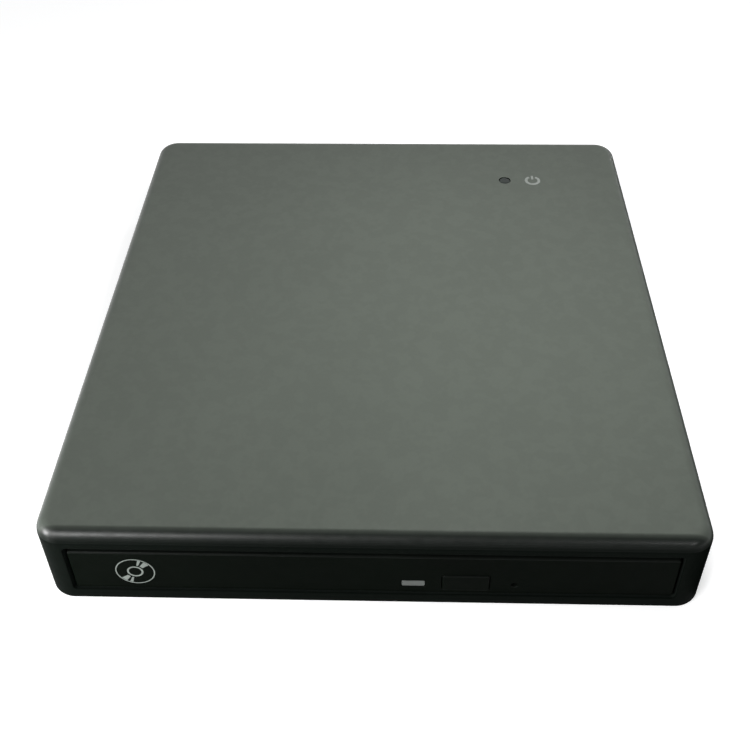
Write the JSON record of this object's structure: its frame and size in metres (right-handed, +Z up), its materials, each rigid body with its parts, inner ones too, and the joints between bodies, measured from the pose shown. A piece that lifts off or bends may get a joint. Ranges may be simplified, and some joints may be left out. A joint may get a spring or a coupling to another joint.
{
  "type": "external optical drive",
  "caption": "Flat desktop optical drive: a slim tray drive with telescopic runners, turntable and pickup inside a plastic enclosure with rolled edges.",
  "frame": {"origin": "middle of the plan, on the plane of the feet's undersides", "axes": "+Z up, +Y towards the rear, front face towards -Y"},
  "size_m": [0.141, 0.1544, 0.0227],
  "materials": {
    "case_plastic": "fine matt texture",
    "bezel_plastic": "satin black",
    "tray_plastic": "matt black",
    "pale_window": "milky",
    "smoked_lens": "clear dark",
    "rubber": "matt",
    "sheet_steel": "zinc plated",
    "bright_steel": "ground",
    "copper": "enamelled wire and laminations",
    "board_green": "solder mask",
    "chip_black": "moulded",
    "connector_black": "moulded",
    "acetal": "natural",
    "flex_amber": "polyimide film",
    "lens_glass": "coated"
  },
  "bodies": {
    "case": {"top_cover": "case_plastic", "base_cover": "case_plastic", "foot_front_left": "rubber", "foot_front_right": "rubber", "foot_rear_left": "rubber", "foot_rear_right": "rubber", "case_screw_front_left": "sheet_steel", "case_screw_front_right": "sheet_steel", "case_screw_rear_left": "sheet_steel", "case_screw_rear_right": "sheet_steel", "bridge_board": "board_green", "bridge_chip": "chip_black", "usb_socket": "bright_steel", "power_socket": "connector_black", "board_connector": "connector_black", "status_led": "acetal", "light_pipe": "smoked_lens", "drive_pan": "sheet_steel", "drive_lid": "sheet_steel", "guide_left": "connector_black", "guide_right": "connector_black", "main_board": "board_green", "main_chip": "chip_black", "drive_plug": "connector_black", "lock_pin": "bright_steel", "flex_lower_run": "flex_amber"},
    "runner_left": {"runner_left": "bright_steel"},
    "runner_right": {"runner_right": "bright_steel"},
    "tray": {"tray": "tray_plastic", "tray_bezel": "bezel_plastic", "light_window": "pale_window", "under_plate": "sheet_steel", "tray_board": "board_green", "eject_switch": "acetal", "lock_coil": "copper", "deck_plate": "sheet_steel", "traverse_frame": "sheet_steel", "spindle_base": "sheet_steel", "stator": "copper", "guide_rod_left": "bright_steel", "guide_rod_right": "bright_steel", "feed_motor": "sheet_steel", "screw_bearing": "acetal", "damper_1": "rubber", "damper_2": "rubber", "damper_3": "rubber", "flex_upper_run": "flex_amber"},
    "eject_button": {"eject_button": "bezel_plastic"},
    "turntable": {"turntable": "connector_black", "disc_pad": "rubber"},
    "pawl_1": {"clamp_pawl_1": "acetal"},
    "pawl_2": {"clamp_pawl_2": "acetal"},
    "pawl_3": {"clamp_pawl_3": "acetal"},
    "sled": {"pickup_sled": "connector_black"},
    "lens": {"lens_holder": "connector_black", "pickup_lens": "lens_glass"},
    "lead_screw": {"lead_screw": "bright_steel"},
    "lock_lever": {"lock_lever": "bright_steel"},
    "ejector_pin": {"ejector_pin": "bright_steel"}
  },
  "joints": [
    {"name": "tray_slide", "type": "slide", "parent": "case", "child": "tray", "axis": [0, -1, 0], "range_m": [0, 0.13]},
    {"name": "runner_left_slide", "type": "slide", "parent": "case", "child": "runner_left", "axis": [0, -1, 0], "range_m": [0, 0.065]},
    {"name": "runner_right_slide", "type": "slide", "parent": "case", "child": "runner_right", "axis": [0, -1, 0], "range_m": [0, 0.065]},
    {"name": "eject_button_press", "type": "slide", "parent": "tray", "child": "eject_button", "axis": [0, 1, 0], "range_m": [0, 0.0006], "stiffness_N_per_m": 300},
    {"name": "turntable_spin", "type": "hinge", "parent": "tray", "child": "turntable", "pos_m": [0, -0.0103, 0.0046], "axis": [0, 0, 1], "continuous": true},
    {"name": "pawl_1_slide", "type": "slide", "parent": "turntable", "child": "pawl_1", "axis": [0.6691, 0.7431, 0], "range_m": [0, 0.0005], "stiffness_N_per_m": 150},
    {"name": "pawl_2_slide", "type": "slide", "parent": "turntable", "child": "pawl_2", "axis": [-0.9781, 0.2079, 0], "range_m": [0, 0.0005], "stiffness_N_per_m": 150},
    {"name": "pawl_3_slide", "type": "slide", "parent": "turntable", "child": "pawl_3", "axis": [0.309, -0.9511, 0], "range_m": [0, 0.0005], "stiffness_N_per_m": 150},
    {"name": "sled_slide", "type": "slide", "parent": "tray", "child": "sled", "axis": [-0.6691, -0.7431, 0], "range_m": [0, 0.0355]},
    {"name": "lens_focus", "type": "slide", "parent": "sled", "child": "lens", "axis": [0, 0, 1], "range_m": [-0.0003, 0.0003], "stiffness_N_per_m": 60},
    {"name": "lead_screw_spin", "type": "hinge", "parent": "tray", "child": "lead_screw", "pos_m": [0.01338, -0.02234, 0.0089], "axis": [-0.6691, -0.7431, 0], "range_deg": [0, 4262]},
    {"name": "lock_lever_swing", "type": "hinge", "parent": "tray", "child": "lock_lever", "pos_m": [0.04, -0.05195, 0.007], "axis": [0, 0, 1], "range_deg": [0, 10]},
    {"name": "ejector_slide", "type": "slide", "parent": "tray", "child": "ejector_pin", "axis": [0, 1, 0], "range_m": [0, 0.008]}
  ],
  "couplings": [
    {"joint": "runner_left_slide", "follows": "tray_slide", "ratio": 0.5},
    {"joint": "runner_right_slide", "follows": "tray_slide", "ratio": 0.5},
    {"joint": "ejector_slide", "follows": "tray_slide", "ratio": 0.0615},
    {"joint": "lead_screw_spin", "follows": "sled_slide", "rad_per_m": 2094.4}
  ]
}
